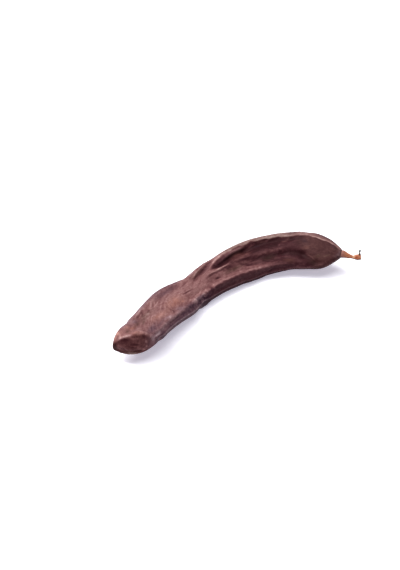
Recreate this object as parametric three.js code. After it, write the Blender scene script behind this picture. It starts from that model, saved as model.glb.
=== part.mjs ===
// A dried carob pod with the stalk it hung from, lying on its broad side.
// Millimetres, +Z up. +X runs from the blossom end to the stalk, and +Y to the outer side of the curve.
// The origin is the middle of the outline's box, on the surface that the pod lies on.
import * as THREE from 'three';

// The pod's middle line, from the blossom end to the neck. Both ends are lifted off the surface.
const POD_LINE = smoothLine([
  [-53.3, -28.5, 6.8],
  [-49.5, -26, 9.3],
  [-42, -21.5, 9],
  [-30, -15.2, 7.1],
  [-10, -7.2, 4.1],
  [8, -3.7, 4.2],
  [27, -2.8, 4.8],
  [41, -7, 7],
  [53, -16, 9],
  [62.8, -26.4, 9.3],
]);

// The pod's size at places along that line. outer and inner are the half widths towards the two seams,
// top and bottom the half thicknesses, roll tips the outer seam up, and yaw turns the section on the surface.
// corner is how square the section is where the upper face turns down to the inner seam.
const POD_FIELDS = ['outer', 'inner', 'top', 'bottom', 'roll', 'yaw', 'corner'];
const POD_STATIONS = [
  { at: 0.0, outer: 7.4, inner: 6.0, top: 1.5, bottom: 1.4, roll: 0, yaw: 24, corner: 2.2 },
  { at: 0.02, outer: 9.0, inner: 8.0, top: 3.9, bottom: 3.0, roll: 0, yaw: 22, corner: 2.3 },
  { at: 0.045, outer: 9.7, inner: 9.1, top: 4.5, bottom: 4.0, roll: 0, yaw: 17, corner: 2.4 },
  { at: 0.09, outer: 9.4, inner: 9.6, top: 4.5, bottom: 4.2, roll: 0, yaw: 6, corner: 2.5 },
  { at: 0.14, outer: 9.2, inner: 9.4, top: 4.5, bottom: 4.2, roll: 0, yaw: 0, corner: 2.6 },
  { at: 0.22, outer: 10.6, inner: 9.8, top: 4.5, bottom: 4.2, roll: 0, yaw: 0, corner: 2.6 },
  { at: 0.3, outer: 11.8, inner: 10.4, top: 4.4, bottom: 4.3, roll: 0, yaw: 0, corner: 2.8 },
  { at: 0.38, outer: 10.0, inner: 9.6, top: 4.4, bottom: 4.3, roll: 0, yaw: 0, corner: 3.2 },
  { at: 0.45, outer: 9.2, inner: 9.0, top: 4.4, bottom: 4.3, roll: 2, yaw: 0, corner: 3.8 },
  { at: 0.52, outer: 10.6, inner: 9.2, top: 4.4, bottom: 4.3, roll: 5, yaw: 0, corner: 4.2 },
  { at: 0.6, outer: 11.8, inner: 10.4, top: 4.3, bottom: 4.2, roll: 9, yaw: 0, corner: 4.5 },
  { at: 0.68, outer: 12.0, inner: 10.2, top: 4.2, bottom: 4.2, roll: 14, yaw: 0, corner: 4.5 },
  { at: 0.78, outer: 10.4, inner: 10.4, top: 4.0, bottom: 4.0, roll: 20, yaw: 0, corner: 4.0 },
  { at: 0.88, outer: 9.9, inner: 10.0, top: 3.4, bottom: 3.4, roll: 24, yaw: 0, corner: 3.0 },
  { at: 0.95, outer: 6.8, inner: 8.6, top: 2.8, bottom: 2.8, roll: 21, yaw: 0, corner: 2.4 },
  { at: 0.985, outer: 3.6, inner: 4.6, top: 2.3, bottom: 2.3, roll: 17, yaw: 0, corner: 2.2 },
  { at: 1.0, outer: 2.1, inner: 2.1, top: 1.9, bottom: 1.9, roll: 15, yaw: 0, corner: 2.2 },
];
const POD_RINGS = 100;
const POD_SIDES = 48;

// How square the rest of each section is: 2 is a plain oval.
const SQUARENESS = 2.6;

// The dried faces sink between thick margins. Shares of the half width: flat inside, full height outside.
const FACE = { sink: 1.0, inside: 0.56, outside: 0.76 };

// Each seam is a thin rib on the edge of the pod, with a groove above it and one below.
// The inner one runs a little above half the thickness.
const SEAM = { ribRise: 0.35, ribWidth: 0.6, grooveDepth: 0.45, grooveAt: 1.5, grooveWidth: 0.8, innerLift: 1.1 };

// The seeds swell both faces a little, one behind the other along the middle.
const SEEDS = { first: 14, pitch: 11.5, count: 9, rise: 0.35, length: 4.2, width: 3.4 };

// Folds of the dried skin: [mm along, mm across] at both ends, with +across towards the outer seam.
// width is how far a fold reaches to each side, depth how far it sinks, and below zero it is a ridge.
// bow is how far its middle bends towards the outer seam.
const TOP_FOLDS = [
  { from: [56, 3.5], to: [68, 8], width: 1.5, depth: 1.2, bow: 0 },
  { from: [70, 4], to: [86, 6.4], width: 2.0, depth: 1.4, bow: 0.3 },
  { from: [86, 5.6], to: [106, 5.6], width: 2.3, depth: 1.3, bow: 0.5 },
  { from: [80, -2], to: [88, -4], width: 1.2, depth: 0.9, bow: 0 },
  { from: [84, -0.5], to: [103, -2.5], width: 1.3, depth: 1.0, bow: -0.5 },
  { from: [102, -2], to: [113, -3.4], width: 1.3, depth: 0.8, bow: 0.3 },
  { from: [113, -3.4], to: [122, -8], width: 1.6, depth: 0.9, bow: -0.6 },
  { from: [60, -3], to: [70, -3.5], width: 1.3, depth: 0.6, bow: 0 },
  { from: [10, 1], to: [24, 7.5], width: 1.8, depth: 0.45, bow: 0.5 },
  { from: [23, 0], to: [38, 8], width: 2.0, depth: 0.5, bow: 0.5 },
  { from: [36, 1], to: [50, 8], width: 1.8, depth: 0.5, bow: 0 },
  { from: [44, -4.5], to: [58, -6], width: 1.2, depth: 0.6, bow: 0 },
  { from: [54, 5.5], to: [66, 9.5], width: 1.2, depth: -0.7, bow: 0 },
  { from: [60, 0.5], to: [76, 1.5], width: 1.2, depth: -0.7, bow: 0.5 },
  { from: [76, 1.5], to: [94, 0.5], width: 1.2, depth: -0.6, bow: 0 },
  { from: [63, 3], to: [77, 8.4], width: 1.1, depth: -0.6, bow: 0 },
  { from: [58, -7.2], to: [92, -8.2], width: 1.2, depth: -0.6, bow: 0 },
  { from: [92, -8.2], to: [108, -8.8], width: 1.2, depth: -0.5, bow: 0 },
  { from: [103, 3], to: [109, 4.5], width: 1.0, depth: -0.5, bow: 0 },
  { from: [0.2, 7.5], to: [2, 4.5], width: 1.4, depth: -0.9, bow: 0 },
  { from: [2, 4.5], to: [4.2, 0], width: 1.3, depth: -0.8, bow: 0 },
  { from: [4.2, 0], to: [4.6, -3.2], width: 1.2, depth: -0.8, bow: 0 },
  { from: [4.6, -3.2], to: [3.2, -6.8], width: 1.2, depth: -0.8, bow: 0 },
  { from: [7.6, -2.5], to: [6.6, -7], width: 1.5, depth: 0.6, bow: 0 },
];
const UNDER_FOLDS = [
  { from: [14, -2], to: [34, -6], width: 1.6, depth: 0.9, bow: 1 },
  { from: [20, 6], to: [40, 2], width: 1.8, depth: 0.9, bow: 0.5 },
  { from: [36, -3], to: [58, -1], width: 1.6, depth: 1.0, bow: -1 },
  { from: [46, 4], to: [64, 3], width: 2.0, depth: 1.0, bow: 0.5 },
  { from: [62, -2], to: [82, -4.5], width: 1.7, depth: 1.1, bow: 1 },
  { from: [72, 5], to: [94, 2], width: 2.2, depth: 1.2, bow: 0.5 },
  { from: [90, -4], to: [112, -2], width: 1.8, depth: 1.0, bow: -1 },
  { from: [100, 4], to: [116, 5], width: 1.8, depth: 0.9, bow: 0.5 },
  { from: [28, 1], to: [50, -2], width: 1.2, depth: -0.6, bow: 0 },
  { from: [56, 0.5], to: [78, 0], width: 1.2, depth: -0.7, bow: 0.5 },
  { from: [80, -1], to: [104, 0.5], width: 1.2, depth: -0.6, bow: 0 },
];

// Dents in the two seams' outline, which the skin pulled in as it dried: mm along the pod.
const OUTER_NICKS = [
  { at: 11.5, width: 2.2, depth: 0.9 },
  { at: 53.5, width: 2.2, depth: 0.9 },
  { at: 72, width: 3, depth: 0.4 },
  { at: 114, width: 2.5, depth: 0.5 },
];
const INNER_NICKS = [
  { at: 8, width: 2, depth: 0.6 },
  { at: 48, width: 5, depth: 1.0 },
  { at: 76, width: 3, depth: 0.4 },
  { at: 108, width: 4, depth: 0.4 },
];

// The dried beak of the flower, a small hook on the outer corner of the blossom end.
const BEAK = { along: 0.8, across: 7.5, reach: 1.2, width: 2 };

// The blossom end bulges forward in the middle of its lip, and the bulge fades out along the pod.
const LIP = { bulge: 2.3, fade: 6 };

// The pod lies on three places of its margins, round its weight: [mm along, mm across].
// Each is flat out to one radius, and rounds off up to the other.
const RESTS = { places: [[50, -6.8], [87, -8], [64, 7.6]], flat: 2, reach: 5 };

// The stalk's middle line, from the neck to the end that was cut, and its radius on the way.
const STALK_LINE = smoothLine([
  [63.1, -26.7, 9.2],
  [64.2, -27.8, 8.9],
  [66, -29.4, 8.5],
  [67, -30.3, 8.3],
  [68.5, -31.3, 8.3],
  [70, -32.4, 8.4],
]);
const STALK_FIELDS = ['radius'];
const STALK_STATIONS = [
  { at: 0.0, radius: 1.8 },
  { at: 0.15, radius: 1.45 },
  { at: 0.42, radius: 1.0 },
  { at: 0.58, radius: 0.85 },
  { at: 0.72, radius: 1.3 },
  { at: 0.82, radius: 1.45 },
  { at: 0.92, radius: 1.3 },
  { at: 1.0, radius: 1.4 },
];
const STALK_RINGS = 26;
const STALK_SIDES = 16;
const STALK_RIBS = { count: 5, rise: 0.05 };

// The dark dry spur that stands on the stalk's cut end.
const SPUR_LINE = smoothLine([
  [70.1, -31.9, 10.4],
  [70.2, -31.6, 11.4],
  [70.4, -31.2, 12.8],
]);
const SPUR_FIELDS = ['radius'];
const SPUR_STATIONS = [
  { at: 0.0, radius: 0.5 },
  { at: 0.4, radius: 0.4 },
  { at: 0.8, radius: 0.5 },
  { at: 1.0, radius: 0.3 },
];
const SPUR_RINGS = 8;
const SPUR_SIDES = 10;

const UP = new THREE.Vector3(0, 0, 1);
const { clamp, degToRad, smoothstep } = THREE.MathUtils;

function smoothLine(points) {
  return new THREE.CatmullRomCurve3(points.map((point) => new THREE.Vector3(...point)), false, 'centripetal');
}

// A reader of stations: gives their fields at any share of the length, on a smooth curve through them.
function stationReader(stations, fields) {
  const curve = new THREE.CubicInterpolant(
    stations.map((station) => station.at),
    stations.flatMap((station) => fields.map((field) => station[field])),
    fields.length,
  );
  return (share) => {
    const values = curve.evaluate(share);
    return Object.fromEntries(fields.map((field, i) => [field, values[i]]));
  };
}

function shares(count) {
  return Array.from({ length: count }, (_, i) => i / (count - 1));
}

// A bell: one in the middle, almost nothing past two widths.
function bell(distance, width) {
  return Math.exp(-((distance / width) ** 2));
}

// How far a squared circle of radius 1 reaches in one direction. Two is round, and more has tighter corners.
function squareReach(squareness, x, y) {
  return (Math.abs(x) ** squareness + Math.abs(y) ** squareness) ** (-1 / squareness);
}

// How deep the folds press at one place of a face.
function foldDepth(folds, along, across) {
  let depth = 0;
  for (const fold of folds) {
    const run = [fold.to[0] - fold.from[0], fold.to[1] - fold.from[1]];
    const length = Math.hypot(...run);
    const away = [along - fold.from[0], across - fold.from[1]];
    const forward = (away[0] * run[0] + away[1] * run[1]) / length;
    const sideways = (away[1] * run[0] - away[0] * run[1]) / length;
    const share = clamp(forward / length, 0, 1);
    const bend = fold.bow * 4 * share * (1 - share);
    depth += fold.depth * bell(Math.hypot(forward - share * length, sideways - bend), fold.width);
  }
  return depth;
}

function seedRise(along, across) {
  let rise = 0;
  for (let i = 0; i < SEEDS.count; i += 1) {
    const distance = along - SEEDS.first - i * SEEDS.pitch;
    rise += SEEDS.rise * bell(distance, SEEDS.length) * bell(across, SEEDS.width);
  }
  return rise;
}

function nickDepth(nicks, along) {
  return nicks.reduce((sum, nick) => sum + nick.depth * bell(along - nick.at, nick.width), 0);
}

// What share of its height the underside keeps at one place: none where the pod rests.
function restShare(along, across) {
  return RESTS.places.reduce((share, [restAlong, restAcross]) => {
    const distance = Math.hypot(along - restAlong, across - restAcross);
    return share * smoothstep(distance, RESTS.flat, RESTS.reach);
  }, 1);
}

// How far the skin stands out of the plain rounded section, in mm, at one place.
// edge is 0 in the middle of a face and 1 at a seam, and height is the distance above or below the seam.
function relief(along, across, edge, height, length) {
  const folds = height > 0 ? TOP_FOLDS : UNDER_FOLDS;
  const face = 1 - smoothstep(edge, FACE.inside, FACE.outside);
  const ends = smoothstep(along, 3, 10) * (1 - smoothstep(along, length - 24, length - 10));
  const onFace = 1 - smoothstep(edge, 0.85, 1);
  const offSeam = across > 0 ? height : height - SEAM.innerLift;
  const rib = SEAM.ribRise * bell(offSeam, SEAM.ribWidth);
  const groove = SEAM.grooveDepth * bell(Math.abs(offSeam) - SEAM.grooveAt, SEAM.grooveWidth);
  const onSeam = smoothstep(edge, 0.75, 0.95) * ends;
  return onFace * (seedRise(along, across) * ends - FACE.sink * face * ends - foldDepth(folds, along, across))
    + onSeam * (rib - groove);
}

// One closed ring of the pod's skin.
const podStation = stationReader(POD_STATIONS, POD_FIELDS);
function podRing(share) {
  const station = podStation(share);
  const length = POD_LINE.getLength();
  const along = share * length;
  const middle = POD_LINE.getPointAt(share);
  const forward = POD_LINE.getTangentAt(share).setZ(0).normalize();
  const side = new THREE.Vector3().crossVectors(UP, forward);
  const lift = UP.clone().applyAxisAngle(forward, degToRad(station.roll));
  side.applyAxisAngle(forward, degToRad(station.roll)).applyAxisAngle(UP, degToRad(station.yaw));
  return Array.from({ length: POD_SIDES }, (_, i) => {
    const angle = (i / POD_SIDES) * 2 * Math.PI;
    const [x, y] = [Math.cos(angle), Math.sin(angle)];
    const halfWidth = x > 0
      ? station.outer - nickDepth(OUTER_NICKS, along)
      : station.inner - nickDepth(INNER_NICKS, along);
    const halfHeight = y > 0 ? station.top : station.bottom;
    const squareness = x < 0 && y > 0 ? station.corner : SQUARENESS;
    const reach = squareReach(squareness, x, y);
    const across = x * reach * halfWidth;
    const height = y * reach * halfHeight;
    const out = new THREE.Vector2(
      Math.sign(x) * Math.abs(x * reach) ** (squareness - 1) / halfWidth,
      Math.sign(y) * Math.abs(y * reach) ** (squareness - 1) / halfHeight,
    ).normalize();
    const rise = relief(along, across, Math.abs(across) / halfWidth, height, length);
    const beak = BEAK.reach * bell(along - BEAK.along, BEAK.width) * bell(across - BEAK.across, BEAK.width);
    const bulge = LIP.bulge * (1 - (across / halfWidth) ** 2) * (1 - smoothstep(along, 0, LIP.fade));
    const point = middle.clone()
      .addScaledVector(forward, -bulge)
      .addScaledVector(side, across + out.x * rise + beak)
      .addScaledVector(lift, height + out.y * rise);
    const facesDown = smoothstep(-out.y, 0.3, 0.8);
    point.z = Math.max(point.z, 0) * (1 - facesDown * (1 - restShare(along, across)));
    return point;
  });
}

// One ring of a round twig, ribbed along its length.
function twigRing(line, stationAt, sides, share) {
  const middle = line.getPointAt(share);
  const forward = line.getTangentAt(share);
  const side = new THREE.Vector3(forward.y, -forward.x, 0.001).normalize();
  const lift = new THREE.Vector3().crossVectors(forward, side).normalize();
  side.crossVectors(lift, forward);
  return Array.from({ length: sides }, (_, i) => {
    const angle = (i / sides) * 2 * Math.PI;
    const radius = stationAt(share).radius * (1 + STALK_RIBS.rise * Math.cos(STALK_RIBS.count * angle));
    return middle.clone()
      .addScaledVector(side, radius * Math.cos(angle))
      .addScaledVector(lift, radius * Math.sin(angle));
  });
}

// A closed skin over rings that have the same number of points, with a fan over each end.
function loft(rings) {
  const sides = rings[0].length;
  const points = rings.flat();
  const faces = [];
  for (let ring = 0; ring + 1 < rings.length; ring += 1) {
    for (let i = 0; i < sides; i += 1) {
      const a = ring * sides + i;
      const b = ring * sides + ((i + 1) % sides);
      faces.push(a, b, a + sides, b, b + sides, a + sides);
    }
  }
  const lastRing = (rings.length - 1) * sides;
  for (const [start, turn] of [[0, 1], [lastRing, -1]]) {
    const middle = points.slice(start, start + sides)
      .reduce((sum, point) => sum.add(point), new THREE.Vector3())
      .divideScalar(sides);
    points.push(middle);
    for (let i = 0; i < sides; i += 1) {
      const pair = [start + i, start + ((i + 1) % sides)];
      if (turn > 0) pair.reverse();
      faces.push(points.length - 1, ...pair);
    }
  }
  const geometry = new THREE.BufferGeometry().setFromPoints(points);
  geometry.setIndex(faces);
  geometry.computeVertexNormals();
  return geometry;
}

function twig(line, stations, fields, rings, sides) {
  const stationAt = stationReader(stations, fields);
  return loft(shares(rings).map((share) => twigRing(line, stationAt, sides, share)));
}

function piece(name, geometry, color, roughness) {
  const mesh = new THREE.Mesh(geometry, new THREE.MeshStandardMaterial({ color, roughness, metalness: 0 }));
  mesh.name = name;
  return mesh;
}

const carob = new THREE.Group();
carob.add(
  piece('pod', loft(shares(POD_RINGS).map(podRing)), 0x5b3a38, 0.55),
  piece('stalk', twig(STALK_LINE, STALK_STATIONS, STALK_FIELDS, STALK_RINGS, STALK_SIDES), 0xa8653f, 0.7),
  piece('stalk_spur', twig(SPUR_LINE, SPUR_STATIONS, SPUR_FIELDS, SPUR_RINGS, SPUR_SIDES), 0x4a4a40, 0.85),
);

const outline = new THREE.Box3().setFromObject(carob);
const centre = outline.getCenter(new THREE.Vector3());
carob.position.set(-centre.x, -centre.y, -outline.min.z);

export default carob;
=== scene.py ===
"""A dried carob pod with the stalk it hung from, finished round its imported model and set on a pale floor."""

from __future__ import annotations

import logging
import math
from dataclasses import dataclass
from enum import Enum
from typing import Any

import bpy
import numpy as np
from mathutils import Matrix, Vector, noise


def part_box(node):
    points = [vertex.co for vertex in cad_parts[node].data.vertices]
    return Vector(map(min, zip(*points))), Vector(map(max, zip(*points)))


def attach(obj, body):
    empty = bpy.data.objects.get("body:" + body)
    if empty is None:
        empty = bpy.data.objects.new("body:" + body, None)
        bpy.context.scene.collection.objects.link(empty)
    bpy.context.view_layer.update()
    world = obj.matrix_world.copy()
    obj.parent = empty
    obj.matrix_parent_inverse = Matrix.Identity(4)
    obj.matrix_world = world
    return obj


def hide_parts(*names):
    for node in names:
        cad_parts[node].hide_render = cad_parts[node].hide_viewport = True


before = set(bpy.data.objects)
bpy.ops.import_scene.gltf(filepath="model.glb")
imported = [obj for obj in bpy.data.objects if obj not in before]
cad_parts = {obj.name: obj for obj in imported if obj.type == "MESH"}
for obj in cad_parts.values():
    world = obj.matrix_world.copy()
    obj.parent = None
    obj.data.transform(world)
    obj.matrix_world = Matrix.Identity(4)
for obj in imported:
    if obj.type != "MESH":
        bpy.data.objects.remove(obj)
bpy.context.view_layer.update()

LOG = logging.getLogger("carob")
MM = 0.001
BODY = "root"
UP = np.array([0.0, 0.0, 1.0])
NOISE_REACH = 0.5
SEED_STEPS = np.array([1.0, 1.7, 0.6])

Span = tuple[float, float]
Row = tuple[float, ...]
Triple = tuple[float, float, float]
Stops = tuple[tuple[float, Triple], ...]


def smooth_step(value: np.ndarray, low: np.ndarray | float, high: np.ndarray | float) -> np.ndarray:
    """Rises smoothly from 0 at low to 1 at high.

    Args:
        value: The numbers to map.
        low: Where the rise starts, for all of them or for each.
        high: Where it ends.

    Returns:
        One number from 0 to 1 for each value.
    """
    share = np.clip((value - low) / (high - low), 0.0, 1.0)
    return share * share * (3.0 - 2.0 * share)


def bell(distance: np.ndarray, width: float) -> np.ndarray:
    """One in the middle, almost nothing past two widths.

    Args:
        distance: Distances from the middle.
        width: How wide the bell is, in the same unit.

    Returns:
        The bell's height at each distance.
    """
    return np.exp(-((distance / width) ** 2))


def mixed(first: np.ndarray, second: np.ndarray | float, share: np.ndarray) -> np.ndarray:
    """Goes from the first number to the second as the share rises from 0 to 1."""
    return first + share * (second - first)


@dataclass(frozen=True)
class Course:
    """A number that changes smoothly on its way, by an amount each time, from one place to another."""

    first: float
    changes: tuple[Triple, ...]

    def at(self, places: np.ndarray) -> np.ndarray:
        """Reads the number at each place."""
        return self.first + sum(by * smooth_step(places, start, end) for by, start, end in self.changes)


class Grain(Enum):
    """How a noise is shaped into relief."""

    ROLLING = "rolling"
    RIDGED = "ridged"


def grain_at(places: np.ndarray, grain: Grain, seed: float) -> np.ndarray:
    """Noise at every place.

    Args:
        places: Points, already divided by the pattern's size in each direction.
        grain: Rolling swells, or sharp ridges between smooth hollows.
        seed: Moves the pattern to another part of the noise.

    Returns:
        Values about from -1 to 1.
    """
    moved = (places + seed * SEED_STEPS).tolist()
    values = np.array([noise.noise(Vector(place)) for place in moved]) / NOISE_REACH
    return 1.0 - 2.0 * np.abs(values) if grain is Grain.RIDGED else values


@dataclass(frozen=True)
class MiddleLine:
    """The pod's middle line from the blossom end to the neck, in millimetres of the part's frame."""

    points: tuple[Triple, ...] = (
        (-58.9, -16.5, 6.8),
        (-55.1, -14.0, 9.3),
        (-47.6, -9.5, 9.0),
        (-35.6, -3.2, 7.1),
        (-15.6, 4.8, 4.1),
        (2.4, 8.3, 4.2),
        (21.4, 9.2, 4.8),
        (35.4, 5.0, 7.0),
        (47.4, -4.0, 9.0),
        (57.2, -14.4, 9.3),
    )
    roll_along: Row = (0.0, 50.0, 60.0, 69.0, 79.0, 90.0, 103.0, 117.0, 127.0, 133.0)
    roll_degrees: Row = (0.0, 0.0, 2.0, 5.0, 9.0, 14.0, 20.0, 24.0, 20.0, 15.0)
    steps: int = 64

    def sample(self) -> np.ndarray:
        """The line as close points, on a smooth curve through its own points.

        Returns:
            The points, one row each.
        """
        own = np.array(self.points)
        padded = np.vstack([2 * own[0] - own[1], own, 2 * own[-1] - own[-2]])
        knots = np.concatenate([[0.0], np.cumsum(np.linalg.norm(np.diff(padded, axis=0), axis=1) ** 0.5)])
        rows = []
        for first in range(len(own) - 1):
            a, b, c, d = padded[first : first + 4]
            ta, tb, tc, td = knots[first : first + 4]
            for t in np.linspace(tb, tc, self.steps, endpoint=False):
                ab = a * (tb - t) / (tb - ta) + b * (t - ta) / (tb - ta)
                bc = b * (tc - t) / (tc - tb) + c * (t - tb) / (tc - tb)
                cd = c * (td - t) / (td - tc) + d * (t - tc) / (td - tc)
                abc = ab * (tc - t) / (tc - ta) + bc * (t - ta) / (tc - ta)
                bcd = bc * (td - t) / (td - tb) + cd * (t - tb) / (td - tb)
                rows.append(abc * (tc - t) / (tc - tb) + bcd * (t - tb) / (tc - tb))
        rows.append(own[-1])
        return np.array(rows)

    def lay_out(self, points: np.ndarray, block: int = 8000) -> tuple[np.ndarray, np.ndarray]:
        """Lays points out as if the pod were straight.

        Args:
            points: Points in millimetres of the part's frame.
            block: How many are worked out at once.

        Returns:
            For each point: how far along the pod, how far towards the outer seam, and how far up. Then the
            pod's direction there.
        """
        line = self.sample()
        ahead = np.gradient(line, axis=0)
        ahead[:, 2] = 0.0
        ahead /= np.linalg.norm(ahead, axis=1, keepdims=True)
        run = np.concatenate([[0.0], np.cumsum(np.linalg.norm(np.diff(line, axis=0), axis=1))])
        level = np.stack([-ahead[:, 1], ahead[:, 0], np.zeros(len(line))], axis=1)
        roll = np.radians(np.interp(run, self.roll_along, self.roll_degrees))[:, None]
        side = level * np.cos(roll) + UP * np.sin(roll)
        lift = UP * np.cos(roll) - level * np.sin(roll)
        laid = np.empty_like(points)
        direction = np.empty_like(points)
        for start in range(0, len(points), block):
            part = points[start : start + block]
            gap = part[:, None, :2] - line[None, :, :2]
            near = np.argmin((gap**2).sum(axis=2), axis=1)
            away = part - line[near]
            laid[start : start + block, 0] = run[near] + (away * ahead[near]).sum(axis=1)
            laid[start : start + block, 1] = (away * side[near]).sum(axis=1)
            laid[start : start + block, 2] = (away * lift[near]).sum(axis=1)
            direction[start : start + block] = ahead[near]
        return laid, direction


@dataclass(frozen=True)
class Mark:
    """A crease, ridge, pit or patch on the pod's upper face.

    Its path runs through places in millimetres along the pod and across it to the outer seam. A mark can have
    another width on its path's left, so that one of its edges is sharp and the other fades. Its tone is partly
    the skin's own colour and partly painted light: shade painted into creases and pits, highlights onto
    ridges.
    """

    path: tuple[Span, ...]
    width: float
    # Painted light and the skin's own colour: shade in creases and pits, highlights on ridges, lighter or
    # darker patches.
    tone: float = 0.0
    depth: float = 0.0
    warm: float = 0.0
    mauve: float = 0.0
    olive: float = 0.0
    left: float = 0.0
    taper: float = 0.6
    reach: float = 2.6
    samples: int = 48

    def strength(self, along: np.ndarray, across: np.ndarray) -> np.ndarray:
        """How strong the mark is.

        Args:
            along: Places along the pod.
            across: Places towards the outer seam.

        Returns:
            From 0 to 1 at each place, less towards the mark's ends and edges.
        """
        corners = np.array(self.path)
        reach = self.reach * max(self.width, self.left)
        places = np.stack([along, across], axis=1)
        near = np.all((places > corners.min(axis=0) - reach) & (places < corners.max(axis=0) + reach), axis=1)
        run = np.concatenate([[0.0], np.cumsum(np.linalg.norm(np.diff(corners, axis=0), axis=1))])
        stops = np.linspace(0.0, run[-1], self.samples)
        line = np.stack([np.interp(stops, run, corners[:, axis]) for axis in (0, 1)], axis=1)
        line[1:-1] = (line[:-2] + 2.0 * line[1:-1] + line[2:]) / 4.0
        ahead = np.gradient(line, axis=0)
        ahead /= np.linalg.norm(ahead, axis=1, keepdims=True)
        gap = places[near][:, None] - line[None]
        closest = np.argmin((gap**2).sum(axis=2), axis=1)
        away = gap[np.arange(len(closest)), closest]
        sideways = away[:, 1] * ahead[closest, 0] - away[:, 0] * ahead[closest, 1]
        beyond = np.maximum(np.abs((away * ahead[closest]).sum(axis=1)) - 0.5 * stops[1], 0.0)
        width = np.where(sideways > 0.0, self.left or self.width, self.width)
        faded = 1.0 - self.taper + self.taper * np.sin(np.pi * stops[closest] / run[-1])
        found = np.zeros(len(along))
        found[near] = faded * bell(np.hypot(sideways, beyond) / width, 1.0)
        return found

    def add(self, sums: dict[str, np.ndarray], strength: np.ndarray) -> None:
        """Adds the mark to the sums of all marks.

        Args:
            sums: The sums, by the names of the mark's own fields.
            strength: How strong the mark is at each point.
        """
        for name, values in sums.items():
            values += getattr(self, name) * strength


@dataclass(frozen=True)
class SkinPlaces:
    """Where each point of the pod's skin lies, in millimetres of the pod laid out straight."""

    along: np.ndarray
    across: np.ndarray
    up: np.ndarray
    facing: np.ndarray
    forward: np.ndarray
    top_span: Span = (0.3, 1.8)

    @property
    def rows(self) -> np.ndarray:
        """The places as one row of three for each point."""
        return np.stack([self.along, self.across, self.up], axis=1)

    @property
    def on_top(self) -> np.ndarray:
        """One on the upper face, and 0 on the underside."""
        return smooth_step(self.up, *self.top_span)

    def edge(self, slices: int = 120, least: float = 0.5) -> np.ndarray:
        """How far each point is from the middle of a face to the seam on its side, from 0 to 1.

        Args:
            slices: How many slices the pod is cut into to measure its width.
            least: The least half width that a slice is given, in millimetres.

        Returns:
            The share of the half width.
        """
        stops = np.linspace(0.0, self.along.max(), slices)
        own = np.clip(np.digitize(self.along, stops) - 1, 0, slices - 1)
        share = np.zeros(len(self.along))
        for side in (self.across > 0.0, self.across <= 0.0):
            widest = np.full(slices, least)
            np.maximum.at(widest, own[side], np.abs(self.across[side]))
            evened = np.convolve(np.pad(widest, 1, "edge"), np.full(3, 1 / 3), "valid")
            half = np.interp(self.along[side], stops, evened)
            share[side] = np.clip(np.abs(self.across[side]) / half, 0.0, 1.0)
        return share


class Value:
    """A shader value that can be used in plain sums."""

    def __init__(self, shader: Shader, socket: bpy.types.NodeSocket) -> None:
        """Wraps a socket.

        Args:
            shader: The shader that the socket belongs to.
            socket: An output socket that gives a number.
        """
        self.shader = shader
        self.socket = socket

    def _with(self, operation: str, *others: Value | float, clamp: bool = False) -> Value:
        """Adds a Math node that works on this value and others.

        Args:
            operation: What the node does.
            others: The values or numbers for its other sockets.
            clamp: Whether the result is kept between 0 and 1.

        Returns:
            The node's result.
        """
        inputs = dict(enumerate(others, start=1))
        settings = {"operation": operation, "use_clamp": clamp}
        return self.shader.value("ShaderNodeMath", settings, {0: self, **inputs})

    def __add__(self, other: Value | float) -> Value:
        """Gives the sum."""
        return self._with("ADD", other)

    def __radd__(self, other: float) -> Value:
        """Gives the sum, the other way round."""
        return self._with("ADD", other)

    def __sub__(self, other: Value | float) -> Value:
        """Gives the difference."""
        return self._with("SUBTRACT", other)

    def __rsub__(self, other: float) -> Value:
        """Gives the difference, the other way round."""
        return self._with("MULTIPLY_ADD", -1.0, other)

    def __mul__(self, other: Value | float) -> Value:
        """Gives the product."""
        return self._with("MULTIPLY", other)

    def __rmul__(self, other: float) -> Value:
        """Gives the product, the other way round."""
        return self._with("MULTIPLY", other)

    def clamped(self) -> Value:
        """Keeps the value between 0 and 1."""
        return self._with("ADD", 0.0, clamp=True)

    def between(self, low: float, high: float) -> Value:
        """Rises smoothly from 0 at low to 1 at high.

        Args:
            low: Where the rise starts.
            high: Where it ends.

        Returns:
            A value from 0 to 1.
        """
        inputs = {"Value": self, "From Min": low, "From Max": high}
        return self.shader.value("ShaderNodeMapRange", {"interpolation_type": "SMOOTHSTEP"}, inputs)


Input = Value | bpy.types.NodeSocket | float | tuple[float, ...]


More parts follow.
